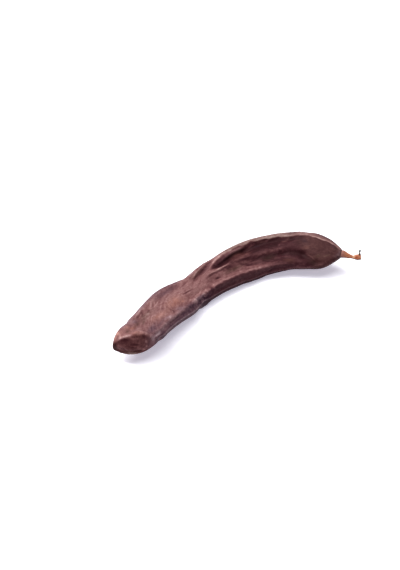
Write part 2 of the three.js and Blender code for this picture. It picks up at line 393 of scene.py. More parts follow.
class Shader:
    """A material that is put together node by node round one Principled shader."""

    FIRST_COLOUR, SECOND_COLOUR, MIXED_COLOUR = 6, 7, 2

    def __init__(self, name: str, **constants: float) -> None:
        """Starts an empty material.

        Args:
            name: The material's name.
            constants: Settings that are the same all over the surface, as Coat_Roughness=0.3.
        """
        self.material = bpy.data.materials.new(name)
        self.material.use_nodes = True
        self.tree = self.material.node_tree
        self.surface = self.tree.nodes["Principled BSDF"]
        for title, number in constants.items():
            self.surface.inputs[title.replace("_", " ")].default_value = number

    def node(self, kind: str, settings: dict[str, Any], inputs: dict[Any, Input]) -> bpy.types.Node:
        """Adds a node.

        Args:
            kind: The node's type.
            settings: The node's own properties, where "stops" fills a colour ramp.
            inputs: A value, a link or a colour for each socket named.

        Returns:
            The new node.
        """
        made = self.tree.nodes.new(kind)
        for title, setting in settings.items():
            if title == "stops":
                for stop, (place, colour) in zip(self._stops(made, len(setting)), setting):
                    stop.position = place
                    stop.color = (*colour, 1.0)
            else:
                setattr(made, title, setting)
        for title, given in inputs.items():
            target = made.inputs[title]
            link = given.socket if isinstance(given, Value) else given
            if isinstance(link, bpy.types.NodeSocket):
                self.tree.links.new(link, target)
            else:
                target.default_value = link
        return made

    @staticmethod
    def _stops(ramp: bpy.types.Node, count: int) -> list[bpy.types.ColorRampElement]:
        """Gives a ramp as many stops as it needs.

        Args:
            ramp: The colour ramp's node.
            count: How many stops it needs.

        Returns:
            All its stops.
        """
        elements = ramp.color_ramp.elements
        while len(elements) < count:
            elements.new(1.0)
        return list(elements)

    def value(self, kind: str, settings: dict[str, Any], inputs: dict[Any, Input], output: Any = 0) -> Value:
        """Adds a node and wraps one of its outputs."""
        return Value(self, self.node(kind, settings, inputs).outputs[output])

    def mark(self, name: str) -> Value:
        """Reads a number that the piece's mesh holds at each point."""
        return self.value("ShaderNodeAttribute", {"attribute_name": name}, {}, "Fac")

    def laid(self, name: str, stretch: Triple) -> bpy.types.NodeSocket:
        """Reads a vector that the mesh holds, multiplied by a stretch in each direction.

        Args:
            name: The attribute's name.
            stretch: The factors.

        Returns:
            The vector's socket.
        """
        vector = self.node("ShaderNodeAttribute", {"attribute_name": name}, {}).outputs["Vector"]
        stretched = self.node("ShaderNodeVectorMath", {"operation": "MULTIPLY"}, {0: vector, 1: stretch})
        return stretched.outputs["Vector"]

    def grain(self, vector: bpy.types.NodeSocket, detail: float, rough: float, warp: float) -> Value:
        """Fractal noise from 0 to 1.

        Args:
            vector: Where the noise is read.
            detail: How many finer layers it has.
            rough: How strong those are.
            warp: How much it is distorted.

        Returns:
            The noise.
        """
        inputs = {"Vector": vector, "Scale": 1.0, "Detail": detail, "Roughness": rough, "Distortion": warp}
        return self.value("ShaderNodeTexNoise", {}, inputs, "Fac")

    def ramp(self, place: Value, stops: Stops) -> bpy.types.NodeSocket:
        """Reads a colour off a row of colours.

        Args:
            place: Where it is read, from 0 to 1.
            stops: The places and colours of the row.

        Returns:
            The colour's socket.
        """
        return self.node("ShaderNodeValToRGB", {"stops": stops}, {"Fac": place}).outputs["Color"]

    def blend(self, share: Value | float, first: Input, second: Input) -> bpy.types.NodeSocket:
        """Mixes two colours.

        Args:
            share: How much of the second.
            first: A colour or its socket.
            second: A colour or its socket.

        Returns:
            The mixed colour's socket.
        """
        inputs = {0: share, self.FIRST_COLOUR: self._colour(first), self.SECOND_COLOUR: self._colour(second)}
        return self.node("ShaderNodeMix", {"data_type": "RGBA"}, inputs).outputs[self.MIXED_COLOUR]

    @staticmethod
    def _colour(given: Input) -> Input:
        """Gives a plain colour its fourth number."""
        return (*given, 1.0) if isinstance(given, tuple) else given

    def dress(self, inputs: dict[str, Input]) -> bpy.types.Material:
        """Links the surface's sockets.

        Args:
            inputs: A value, a link or a colour for each socket of the Principled shader.

        Returns:
            The finished material.
        """
        for title, given in inputs.items():
            link = given.socket if isinstance(given, Value) else given
            self.tree.links.new(link, self.surface.inputs[title])
        return self.material

    def bump(self, height: Value, strength: float, distance: float) -> bpy.types.NodeSocket:
        """A normal that is tilted by a height.

        Args:
            height: The height, about from 0 to 1.
            strength: How much of the tilt is used.
            distance: How high 1 is, in metres.

        Returns:
            The normal's socket.
        """
        inputs = {"Height": height, "Strength": strength, "Distance": distance}
        return self.node("ShaderNodeBump", {}, inputs).outputs["Normal"]


@dataclass(frozen=True)
class Pattern:
    """A fractal noise on a piece, read at places that its mesh holds, and how much it sways the colour."""

    places: str
    stretch: Triple
    detail: float
    rough: float
    warp: float = 0.0
    sway: float = 0.0

    def read(self, shader: Shader) -> Value:
        """Adds the noise's nodes."""
        return shader.grain(shader.laid(self.places, self.stretch), self.detail, self.rough, self.warp)

    def swaying(self, found: Value) -> Value:
        """Gives what the noise adds to the colour's place, half of it below zero."""
        return self.sway * (found - 0.5)


@dataclass(frozen=True)
class PodSkin:
    """The dry leathery skin: maroon-black in hollows, its own dark colour deepened by painted shade; pink on
    ridges, where highlights are painted; beige on the outer margin.
    """

    brown_stops: Stops = (
        (0.0, (0.014, 0.002, 0.003)),
        (0.15, (0.029, 0.0066, 0.0085)),
        (0.3, (0.054, 0.0175, 0.0185)),
        (0.5, (0.105, 0.041, 0.041)),
        (0.65, (0.165, 0.078, 0.074)),
        (0.8, (0.27, 0.15, 0.14)),
        (1.0, (0.47, 0.33, 0.31)),
    )
    mauve_stops: Stops = (
        (0.0, (0.011, 0.004, 0.008)),
        (0.15, (0.022, 0.008, 0.014)),
        (0.3, (0.042, 0.019, 0.028)),
        (0.5, (0.094, 0.049, 0.058)),
        (0.65, (0.155, 0.093, 0.105)),
        (0.8, (0.255, 0.178, 0.19)),
        (1.0, (0.45, 0.38, 0.4)),
    )
    olive_stops: Stops = (
        (0.0, (0.013, 0.005, 0.003)),
        (0.15, (0.024, 0.01, 0.007)),
        (0.3, (0.045, 0.023, 0.016)),
        (0.5, (0.092, 0.056, 0.045)),
        (0.65, (0.155, 0.106, 0.092)),
        (0.8, (0.255, 0.195, 0.178)),
        (1.0, (0.45, 0.39, 0.36)),
    )
    warm: Triple = (0.25, 0.1, 0.068)
    sheen: Triple = (1.0, 0.55, 0.55)
    streaks: Pattern = Pattern("grain_run", (0.18, 0.45, 0.45), 2.0, 0.5, 1.2, sway=0.18)
    blotches: Pattern = Pattern("laid", (0.2, 0.34, 0.34), 5.0, 0.62, 0.8, sway=0.28)
    mottles: Pattern = Pattern("laid", (0.55, 0.8, 0.8), 4.0, 0.6, 0.6, sway=0.38)
    fibres: Pattern = Pattern("grain_run", (0.9, 2.4, 2.4), 3.0, 0.6, 0.8, sway=0.03)
    specks: Pattern = Pattern("laid", (1.8, 2.4, 2.4), 4.0, 0.62, sway=0.22)
    # Painted shade: how much the fine hollows of the skin are darkened.
    hollow_painted_shade: float = 0.12
    warm_least: float = -0.12
    warm_gain: float = 1.4
    roughness: float = 0.56
    rough_specks: float = 0.14
    rough_blotches: float = 0.2
    bump_shares: Triple = (0.15, 0.35, 0.5)
    bump_strength: float = 0.45
    bump_height: float = 0.25 * MM

    def material(self) -> bpy.types.Material:
        """Builds the material.

        Returns:
            The skin's material.
        """
        shader = Shader("carob_pod_skin", Specular_IOR_Level=0.1)
        shader.surface.inputs["Specular Tint"].default_value = (*self.sheen, 1.0)
        patterns = (self.streaks, self.blotches, self.mottles, self.fibres, self.specks)
        found = [pattern.read(shader) for pattern in patterns]
        streaks, blotches, mottles, fibres, specks = found
        # Painted shade: the tone falls in the fine hollows, where shade would lie.
        tone = shader.mark("tone") - self.hollow_painted_shade * shader.mark("fine_hollow")
        for pattern, own in zip(patterns, found):
            tone = tone + pattern.swaying(own)
        tone = tone.clamped()
        brown, mauve, olive = (
            shader.ramp(tone, stops) for stops in (self.brown_stops, self.mauve_stops, self.olive_stops)
        )
        colour = shader.blend(shader.mark("mauve"), brown, mauve)
        colour = shader.blend(shader.mark("olive"), colour, olive)
        warmth = shader.mark("warm") * (self.warm_least + self.warm_gain * streaks).clamped()
        colour = shader.blend(warmth, colour, self.warm)
        rough = self.roughness + self.rough_specks * (specks - 0.5) + self.rough_blotches * (blotches - 0.5)
        fine, coarse, broad = self.bump_shares
        height = fine * fibres + coarse * specks + broad * mottles
        return shader.dress({
            "Base Color": colour,
            "Roughness": rough,
            "Normal": shader.bump(height, self.bump_strength, self.bump_height),
        })


@dataclass(frozen=True)
class StalkBark:
    """The stalk's orange-brown bark: pale at its waist and rim and, as painted light, on its upper side; rusty
    on its scar; dark brown as painted shade underneath and in its fine hollows.
    """

    orange: Triple = (0.3, 0.078, 0.028)
    tan: Triple = (0.47, 0.25, 0.155)
    rust: Triple = (0.24, 0.045, 0.016)
    brown: Triple = (0.06, 0.026, 0.018)
    neck_mauve: Triple = (0.16, 0.072, 0.07)
    streaks: Pattern = Pattern("laid", (0.3, 2.0, 2.0), 4.0, 0.6, 0.3, sway=0.7)
    specks: Pattern = Pattern("laid", (2.0, 5.0, 5.0), 3.0, 0.6)
    # Painted shade in the bark's fine hollows.
    hollow_shade_span: Span = (0.01, 0.25)
    hollow_shade_share: float = 0.5
    speck_span: Span = (0.56, 0.76)
    speck_share: float = 0.45
    roughness: float = 0.55
    rough_specks: float = 0.2
    bump_streaks: float = 0.6
    bump_specks: float = 0.4
    bump_strength: float = 0.6
    bump_height: float = 0.12 * MM

    def material(self) -> bpy.types.Material:
        """Builds the material.

        Returns:
            The bark's material.
        """
        shader = Shader("carob_stalk_bark", Specular_IOR_Level=0.25)
        streaks, specks = self.streaks.read(shader), self.specks.read(shader)
        pale = (shader.mark("pale") + self.streaks.swaying(streaks)).clamped()
        # Painted shade: the fine hollows are darkened towards brown.
        hollow = shader.mark("fine_hollow").between(*self.hollow_shade_span) * self.hollow_shade_share
        speckled = specks.between(*self.speck_span) * self.speck_share
        # The pale share holds the waist, the rim and the light painted on the upper side.
        colour = shader.blend(pale, self.orange, self.tan)
        colour = shader.blend(hollow, colour, self.brown)
        colour = shader.blend(shader.mark("scar"), colour, self.rust)
        colour = shader.blend(speckled, colour, self.brown)
        # Painted shade: dark brown underneath.
        colour = shader.blend(shader.mark("under"), colour, self.brown)
        colour = shader.blend(shader.mark("neck"), colour, self.neck_mauve)
        height = self.bump_streaks * streaks + self.bump_specks * specks
        return shader.dress({
            "Base Color": colour,
            "Roughness": self.roughness + self.rough_specks * specks,
            "Normal": shader.bump(height, self.bump_strength, self.bump_height),
        })


@dataclass(frozen=True)
class DeadWood:
    """The dead wood of the spur: green-black at its tip, pale at its waist and brown at its foot."""

    tip: Triple = (0.022, 0.026, 0.018)
    waist: Triple = (0.3, 0.22, 0.165)
    foot: Triple = (0.085, 0.04, 0.026)
    grey: Triple = (0.12, 0.11, 0.085)
    streaks: Pattern = Pattern("laid", (0.8, 4.0, 4.0), 4.0, 0.65, 0.4)
    tip_span: Span = (0.36, 0.62)
    grey_span: Span = (0.5, 0.75)
    grey_share: float = 0.35
    roughness: float = 0.7
    rough_streaks: float = 0.2
    bump_strength: float = 0.7
    bump_height: float = 0.12 * MM

    def material(self) -> bpy.types.Material:
        """Builds the material.

        Returns:
            The dead wood's material.
        """
        shader = Shader("carob_spur_wood", Specular_IOR_Level=0.3)
        streaks = self.streaks.read(shader)
        colour = shader.blend(shader.mark("height").between(*self.tip_span), self.foot, self.tip)
        colour = shader.blend(shader.mark("waist"), colour, self.waist)
        colour = shader.blend(streaks.between(*self.grey_span) * self.grey_share, colour, self.grey)
        return shader.dress({
            "Base Color": colour,
            "Roughness": self.roughness + self.rough_streaks * streaks,
            "Normal": shader.bump(streaks, self.bump_strength, self.bump_height),
        })


@dataclass(frozen=True)
class PaleFloor:
    """The plain pale floor, which gives off a little light of its own."""

    white: Triple = (0.86, 0.86, 0.88)
    glow: Triple = (0.38, 0.37, 0.44)

    def material(self) -> bpy.types.Material:
        """Builds the material.

        Returns:
            The floor's material.
        """
        shader = Shader("floor", Roughness=0.8, Specular_IOR_Level=0.2)
        shader.surface.inputs["Base Color"].default_value = (*self.white, 1.0)
        shader.surface.inputs["Emission Color"].default_value = (*self.glow, 1.0)
        shader.surface.inputs["Emission Strength"].default_value = 1.0
        return shader.material


class Piece:
    """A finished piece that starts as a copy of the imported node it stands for."""

    def __init__(self, node: str, name: str, slot: str) -> None:
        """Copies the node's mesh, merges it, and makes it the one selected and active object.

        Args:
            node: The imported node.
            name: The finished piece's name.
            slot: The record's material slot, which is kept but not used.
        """
        self.node = node
        self.slot = slot
        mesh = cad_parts[node].data.copy()
        mesh.name = name
        mesh.materials.clear()
        self.object = bpy.data.objects.new(name, mesh)
        bpy.context.scene.collection.objects.link(self.object)
        self.activate()
        bpy.ops.object.mode_set(mode="EDIT")
        bpy.ops.mesh.select_all(action="SELECT")
        bpy.ops.mesh.remove_doubles(threshold=0.001 * MM)
        bpy.ops.mesh.tris_convert_to_quads(face_threshold=math.pi, shape_threshold=math.pi)
        bpy.ops.object.mode_set(mode="OBJECT")

    @property
    def mesh(self) -> bpy.types.Mesh:
        """The piece's mesh."""
        return self.object.data

    def activate(self) -> None:
        """Deselects everything else, and selects the piece."""
        bpy.ops.object.select_all(action="DESELECT")
        self.object.select_set(True)
        bpy.context.view_layer.objects.active = self.object

    def subdivide(self, levels: int) -> None:
        """Rounds the mesh off and makes it finer.

        Args:
            levels: How many times each face is split in four.
        """
        self.activate()
        rounding = self.object.modifiers.new("rounding", "SUBSURF")
        rounding.levels = rounding.render_levels = levels
        bpy.ops.object.modifier_apply(modifier=rounding.name)

    def read(self, what: str) -> np.ndarray:
        """Reads a vector of every point.

        Args:
            what: Which one: "co" for the points' places, "normal" for their normals.

        Returns:
            One row of three for each point.
        """
        rows = np.empty(len(self.mesh.vertices) * 3)
        self.mesh.vertices.foreach_get(what, rows)
        return rows.reshape(-1, 3)

    def move(self, shift: np.ndarray) -> None:
        """Moves every point, but none below the surface that the object lies on.

        Args:
            shift: How far each point moves in each direction, in millimetres.
        """
        places = self.read("co") + shift * MM
        places[:, 2] = np.maximum(places[:, 2], 0.0)
        self.mesh.vertices.foreach_set("co", places.ravel())
        self.mesh.update()

    def push_out(self, height: np.ndarray) -> None:
        """Moves every point along its normal.

        Args:
            height: How far each point moves, in millimetres.
        """
        self.move(self.read("normal") * height[:, None])

    def hollowness(self, rounds: int, full: float) -> np.ndarray:
        """How far each point lies below the smoothed surface round it.

        Args:
            rounds: How often the surface is averaged: more reaches further.
            full: The depth in millimetres that counts as 1.

        Returns:
            Above zero in a hollow, below zero on a ridge.
        """
        edges = np.empty(len(self.mesh.edges) * 2, np.int64)
        self.mesh.edges.foreach_get("vertices", edges)
        a, b = edges.reshape(-1, 2).T
        count = len(self.mesh.vertices)
        ends = np.bincount(a, minlength=count) + np.bincount(b, minlength=count)
        places = self.read("co")
        smooth = places.copy()
        for _ in range(rounds):
            around = [
                np.bincount(a, smooth[b, axis], count) + np.bincount(b, smooth[a, axis], count)
                for axis in range(3)
            ]
            smooth = 0.5 * smooth + 0.5 * np.stack(around, axis=1) / ends[:, None]
        depth = ((smooth - places) * self.read("normal")).sum(axis=1)
        return depth / (full * MM)

    def note(self, name: str, values: np.ndarray) -> None:
        """Keeps a number or a vector at every point, for the material to read.

        Args:
            name: The attribute's name.
            values: One number, or one row of three, for each point.
        """
        kind, field = ("FLOAT", "value") if values.ndim == 1 else ("FLOAT_VECTOR", "vector")
        attribute = self.mesh.attributes.new(name, kind, "POINT")
        attribute.data.foreach_set(field, values.astype(np.float32).ravel())

    def finish(self, material: bpy.types.Material) -> bpy.types.Object:
        """Shades the piece smooth, gives it its material, and hands it to the frame.

        Args:
            material: The piece's finish.

        Returns:
            The piece's object.
        """
        self.activate()
        bpy.ops.object.shade_smooth()
        self.mesh.materials.append(material)
        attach(self.object, BODY)
        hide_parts(self.node)
        LOG.info("%s: %d faces", self.object.name, len(self.mesh.polygons))
        return self.object


@dataclass(frozen=True)
class Rim:
    """A wavering border that runs along the pod on one side of its middle, sharper past the blossom half."""

    side: float
    seed: float
    soft: Course
    along: Row
    across: Row
    wander: float = 0.45
    wave: float = 2.4

    def beyond(self, skin: SkinPlaces) -> np.ndarray:
        """Tells which points lie past the border.

        Args:
            skin: Where the points lie.

        Returns:
            From 0 inside the border to 1 past it, away from the pod's middle.
        """
        border = np.interp(skin.along, self.along, self.across)
        border += self.wander * grain_at(skin.rows / self.wave, Grain.ROLLING, self.seed)
        soft = self.soft.at(skin.along)
        return smooth_step(self.side * (skin.across - border), -soft, soft)


@dataclass(frozen=True)
class Wrinkles:
    """Wrinkles that run along the skin, at a slant up to a place, and fade on the margins and by the neck.

    Each kind has its length, width and rise, in millimetres.
    """

    kinds: tuple[Triple, ...] = ((7.0, 2.6, 0.075), (2.2, 1.3, 0.02))
    slant: float = 0.5
    slant_until: float = 60.0
    bend: float = 0.9
    bend_scale: float = 0.5
    bend_seed: float = 40.0
    seed: float = 7.0
    along: Course = Course(0.0, ((1.0, 3.0, 9.0), (-0.8, 102.0, 112.0)))
    edge: Course = Course(1.0, ((-0.6, 0.75, 0.9),))

    def straight(self, skin: SkinPlaces) -> np.ndarray:
        """Gives the skin's places with the slant taken out.

        Args:
            skin: Where the points lie.

        Returns:
            One row of three for each point.
        """
        rows = skin.rows
        rows[:, 1] -= self.slant * np.minimum(skin.along, self.slant_until)
        return rows

    def height(self, skin: SkinPlaces, edge: np.ndarray) -> np.ndarray:
        """How far the wrinkles stand out.

        Args:
            skin: Where the points lie.
            edge: Their share of the half width.

        Returns:
            The height of each point, in millimetres.
        """
        rows = self.straight(skin)
        height = np.zeros(len(rows))
        for order, (length, width, rise) in enumerate(self.kinds):
            places = rows / (length, width, width)
            bend = self.bend * grain_at(places * self.bend_scale, Grain.ROLLING, self.bend_seed + order)
            height += rise * grain_at(places + bend[:, None], Grain.RIDGED, self.seed + order)
        return height * self.along.at(skin.along) * self.edge.at(edge)


@dataclass(frozen=True)
class CrumblyRim:
    """The stretch of the inner rim that has dried into crumbs and blocks."""

    middle: float = 48.0
    reach: float = 11.0
    across: Span = (5.6, 7.2)
    up: Span = (-0.5, 1.0)
    crumb: Triple = (2.38, 1.7, 1.7)
    crumb_rise: float = 0.12
    crumb_seed: float = 21.0
    block: Triple = (1.9, 1.5, 1.5)
    block_border: float = 0.15
    block_seed: float = 31.0
    contrast: float = 0.2
    # Painted shade in the gaps between the blocks.
    gap_painted_shade: float = 0.6

    def share(self, skin: SkinPlaces) -> np.ndarray:
        """One on the stretch, and 0 elsewhere."""
        on_rim = smooth_step(-skin.across, *self.across) * smooth_step(skin.up, *self.up)
        return bell(skin.along - self.middle, self.reach) * on_rim

    def height(self, skin: SkinPlaces) -> np.ndarray:
        """How far the crumbs stand out, in millimetres."""
        crumbs = grain_at(skin.rows / self.crumb, Grain.RIDGED, self.crumb_seed)
        return self.crumb_rise * self.share(skin) * crumbs

    def tone(self, skin: SkinPlaces) -> np.ndarray:
        """How much highlights painted on the blocks lighten the skin, and shade painted in the gaps between
        them darkens it.

        Args:
            skin: Where the points lie.

        Returns:
            What is added to the tone of each point.
        """
        # Painted highlights on the blocks and painted shade in the gaps.
        blocks = grain_at(skin.rows / self.block, Grain.ROLLING, self.block_seed)
        light = smooth_step(blocks, -self.block_border, self.block_border) - self.gap_painted_shade
        return self.contrast * self.share(skin) * light


@dataclass(frozen=True)
class SeamRib:
    """The fine light rib along the inner seam, with a highlight painted along it."""

    up: float = 1.1
    rise: float = 0.16
    width: float = 0.3
    across: Span = (6.0, 8.0)
    along: Span = (5.0, 12.0)
    # Painted highlight along the rib, stronger over the blossom half.
    light: Course = Course(0.0, ((0.22, 6.0, 12.0), (-0.154, 46.0, 58.0)))
    light_width: float = 0.35

    def height(self, skin: SkinPlaces) -> np.ndarray:
        """How far the rib stands out, in millimetres."""
        on_side = smooth_step(-skin.across, *self.across) * smooth_step(skin.along, *self.along)
        return self.rise * on_side * bell(skin.up - self.up, self.width)

    def tone(self, skin: SkinPlaces) -> np.ndarray:
        """How much the highlight painted along the rib lightens the skin."""
        return self.light.at(skin.along) * bell(skin.up - self.up, self.light_width)


@dataclass(frozen=True)
class Zones:
    """How far each point of the skin belongs to each part of the pod, from 0 to 1."""

    edge: np.ndarray
    margin: np.ndarray
    side: np.ndarray
    end: np.ndarray


@dataclass(frozen=True)
class SkinShades:
    """How light the skin is from place to place, with painted shade, and how much it turns to mauve or to
    olive.

    A tone goes from 0, the darkest, to 1, the lightest. The dark hollow under the outer margin, partly the
    skin's own dark colour and partly painted shade, sets in at a place along the pod that depends on how far
    across it a point lies. Shade is also painted along the outer seam, over the inner side, on the underside
    and low on the inner side. A Course is read along the pod, but onset_fade is read across it, and seam_dark
    from the middle of a face to its seam.
    """

    onset_across: Row = (-8.0, -6.0, -3.0, -1.0, 0.5, 1.5, 2.2, 3.0, 4.0, 5.0, 5.8, 6.5, 7.0, 7.5, 8.0)
    onset_along: Row = (
        93.0, 91.0, 85.0, 81.0, 79.0, 68.0, 66.0, 64.8, 65.5, 66.5, 68.0, 70.5, 72.5, 75.0, 78.0,
    )
    onset_fade: Course = Course(9.0, ((-6.0, -1.0, 2.0),))
    # Painted shade and the skin's own darker colour in the hollow under the outer margin, deeper towards the
    # neck.
    dark: float = 0.29
    deep: float = 0.15
    deep_across: Span = (0.8, 2.4)
    deep_along: Course = Course(1.0, ((-1.0, 99.0, 106.0),))
    late_deep: Course = Course(0.0, ((0.4, 84.0, 94.0),))
    face_tone: Course = Course(0.59, ((-0.06, 50.0, 64.0),))
    end_light: float = 0.04
    margin_tone: Course = Course(0.49, ((0.12, 58.0, 76.0), (-0.03, 102.0, 110.0), (-0.03, 111.0, 119.0)))
    # Painted shade along the outer seam, where the surface turns away.
    seam_dark: Course = Course(0.0, ((-0.12, 0.96, 1.0),))
    # Painted shade over the inner side, which faces away from the light.
    side_painted_shade: Course = Course(0.28, ((0.08, 8.0, 16.0), (-0.14, 42.0, 56.0)))
    # Painted shade on the underside.
    underside_painted_shade: float = 0.36
    under_facing: Span = (-0.5, 0.1)
    # Painted shade low on the inner side, below the rib.
    low_side_painted_shade: float = 0.17
    low_side_drop: Span = (0.2, 1.0)
    low_side_along: Span = (44.0, 56.0)
    least_mauve: float = 0.12
    rim_mauve: float = 0.7
    rim_edge: Span = (0.62, 0.9)
    mauve_along: Course = Course(1.0, ((-0.8, 46.0, 62.0),))
    mauve_from: Span = (2.0, 8.0)
    margin_beige: float = 0.6
    beige_along: Course = Course(0.0, ((1.0, 66.0, 84.0), (-1.0, 103.0, 112.0)))
    end_olive: float = 0.3

    def tone(self, skin: SkinPlaces, zones: Zones, rib: SeamRib) -> np.ndarray:
        """How light the skin is, with its painted shade, before its marks and fine patterns.

        Args:
            skin: Where the points lie.
            zones: The parts of the pod that they belong to.
            rib: The rib along the inner seam.

        Returns:
            The tone of each point.
        """
        onset = np.interp(skin.across, self.onset_across, self.onset_along)
        fade = self.onset_fade.at(skin.across)
        # Painted shade, with the skin's own darker colour, in the hollow under the outer margin.
        dark = smooth_step(skin.along, onset - 0.5 * fade, onset + fade)
        deep = dark * smooth_step(skin.across, *self.deep_across) * self.deep_along.at(skin.along)
        deep += self.late_deep.at(skin.along)
        tone = self.face_tone.at(skin.along) - self.dark * dark - self.deep * deep
        tone += self.end_light * zones.end
        # Painted shade along the outer seam.
        margin_tone = self.margin_tone.at(skin.along) + self.seam_dark.at(zones.edge)
        tone = mixed(tone, margin_tone, zones.margin)
        # Painted shade over the inner side.
        tone = mixed(tone, self.side_painted_shade.at(skin.along), zones.side)
        # Painted highlight along the rib.
        tone += rib.tone(skin) * zones.side
        # Painted shade on the underside.
        tone = mixed(tone, self.underside_painted_shade, 1.0 - smooth_step(skin.facing, *self.under_facing))
        # Painted shade low on the inner side.
        low = smooth_step(rib.up - skin.up, *self.low_side_drop)
        low *= smooth_step(skin.along, *self.low_side_along)
        return mixed(tone, self.low_side_painted_shade, zones.side * low)

    def mauve(self, skin: SkinPlaces, zones: Zones) -> np.ndarray:
        """How much the skin turns from brown to mauve.

        Args:
            skin: Where the points lie.
            zones: The parts of the pod that they belong to.

        Returns:
            The share of mauve of each point.
        """
        rim = self.rim_mauve * smooth_step(zones.edge, *self.rim_edge)
        share = self.least_mauve + np.maximum(zones.side, rim) * self.mauve_along.at(skin.along)
        return share * smooth_step(skin.along, *self.mauve_from)

    def olive(self, skin: SkinPlaces, zones: Zones) -> np.ndarray:
        """How much the skin turns to beige on the outer margin, and to olive brown on the end by the neck."""
        margin = zones.margin * self.beige_along.at(skin.along)
        return self.margin_beige * margin + self.end_olive * zones.end * (1.0 - margin)


@dataclass(frozen=True)
class SteepFace:
    """The steep face at the blossom end, given a darker tone as painted shade, since it faces away from the
    light.

    Its marks' paths run through places in millimetres right of its pointed corner, and above it. Their tones
    paint highlights along its crest and shade in its grooves, besides the face's own colour.
    """

    # Painted shade: the tone that the whole steep face is given.
    tone: float = 0.32
    forward: Span = (0.35, 0.7)
    along: Span = (5.0, 8.0)
    right: Triple = (0.845, -0.534, 0.0)
    rise: Triple = (0.343, 0.543, 0.766)
    corner: Span = (-48.0, -21.0)
    marks_facing: Span = (-0.5, -0.1)
    marks_along: Span = (10.0, 12.0)
    marks: tuple[Mark, ...] = (
        Mark(
            ((0.0, 0.0), (0.9, 0.85), (1.8, 1.4), (3.1, 1.8), (4.4, 2.1), (6.6, 2.1)),
            1.3, tone=-0.17, depth=0.12, left=0.2,
        ),
        Mark(((0.3, 0.1), (3.0, 0.7), (6.5, 0.6)), 0.9, tone=-0.06),
        Mark(
            ((0.9, 1.45), (1.8, 2.05), (3.4, 2.75), (5.4, 3.4), (7.4, 3.6)),
            0.45, tone=0.13, mauve=0.3, depth=-0.12,
        ),
        Mark(((0.4, 4.5), (1.1, 3.9)), 0.6, tone=0.24, warm=0.4),
        Mark(((1.7, 3.5), (2.1, 2.5)), 0.45, tone=0.16),
        Mark(((0.2, -0.45), (1.1, -1.0), (2.4, -1.3), (4.5, -1.95)), 0.22, tone=0.18, depth=-0.08),
        Mark(((0.1, -0.9), (0.8, -1.5), (1.4, -2.4), (2.3, -3.1)), 0.22, tone=0.14, depth=-0.06),
        Mark(((2.1, -2.1), (4.4, -2.8)), 0.5, tone=-0.16, depth=0.1),
        Mark(((3.4, -0.6), (7.0, -1.0), (11.0, -0.4)), 1.5, tone=-0.06),
        Mark(((6.0, -3.0), (9.0, -3.4), (11.4, -3.0)), 0.5, tone=-0.14),
        Mark(((3.8, -0.6), (8.6, -1.2), (11.5, -2.4)), 0.25, tone=0.13, depth=-0.05),
        Mark(((4.4, -1.1), (8.4, -2.0), (10.6, -3.2)), 0.22, tone=-0.12, depth=0.06),
        Mark(((5.6, 0.4), (9.0, 0.4), (12.4, -0.6)), 0.25, tone=0.1, depth=-0.05),
        Mark(((6.0, -0.3), (10.0, -0.6), (12.6, -1.6)), 0.22, tone=-0.1, depth=0.05),
        Mark(((6.6, 2.1), (8.6, 2.3), (9.9, 2.1)), 0.35, tone=0.22, depth=-0.08),
        Mark(((7.4, 2.9), (10.4, 3.0)), 0.4, tone=-0.12, depth=0.1),
        Mark(((11.0, 3.1), (12.9, 2.6)), 0.7, tone=-0.1, depth=0.08),
        Mark(((13.0, 1.6), (13.5, 0.3)), 0.45, tone=0.34, depth=-0.12),
        Mark(((13.6, -0.9), (13.4, -1.6)), 0.45, tone=0.32, depth=-0.12),
        Mark(((12.8, -2.3), (11.6, -2.9)), 0.4, tone=0.26, depth=-0.1),
        Mark(((-0.9, 0.2), (-0.6, -1.4), (-0.3, -2.9)), 1.0, tone=-0.34, olive=0.4),
        Mark(((-0.9, 1.4), (-0.4, 2.9)), 0.9, warm=0.6),
        Mark(((3.6, -3.8), (7.0, -4.7), (11.0, -4.3)), 0.9, tone=0.34, olive=0.7),
    )

    def share(self, skin: SkinPlaces) -> np.ndarray:
        """One on the face, and 0 elsewhere."""
        return smooth_step(-skin.forward, *self.forward) * (1.0 - smooth_step(skin.along, *self.along))

    def add_marks(
        self, sums: dict[str, np.ndarray], skin: SkinPlaces, places: np.ndarray, normal: np.ndarray
    ) -> None:
        """Adds the face's marks to the sums of all marks.

        Args:
            sums: The sums, by the names of a mark's own fields.
            skin: Where the points lie on the pod laid out straight.
            places: Where they lie in millimetres of the part's frame.
            normal: The skin's normal there.
        """
        right = places @ self.right - self.corner[0]
        rise = places @ self.rise - self.corner[1]
        in_front = smooth_step(normal @ np.cross(self.right, self.rise), *self.marks_facing)
        in_front *= 1.0 - smooth_step(skin.along, *self.marks_along)
        # Painted highlights along the crest and painted shade in the grooves, besides the face's own colour.
        for mark in self.marks:
            mark.add(sums, mark.strength(right, rise) * in_front)


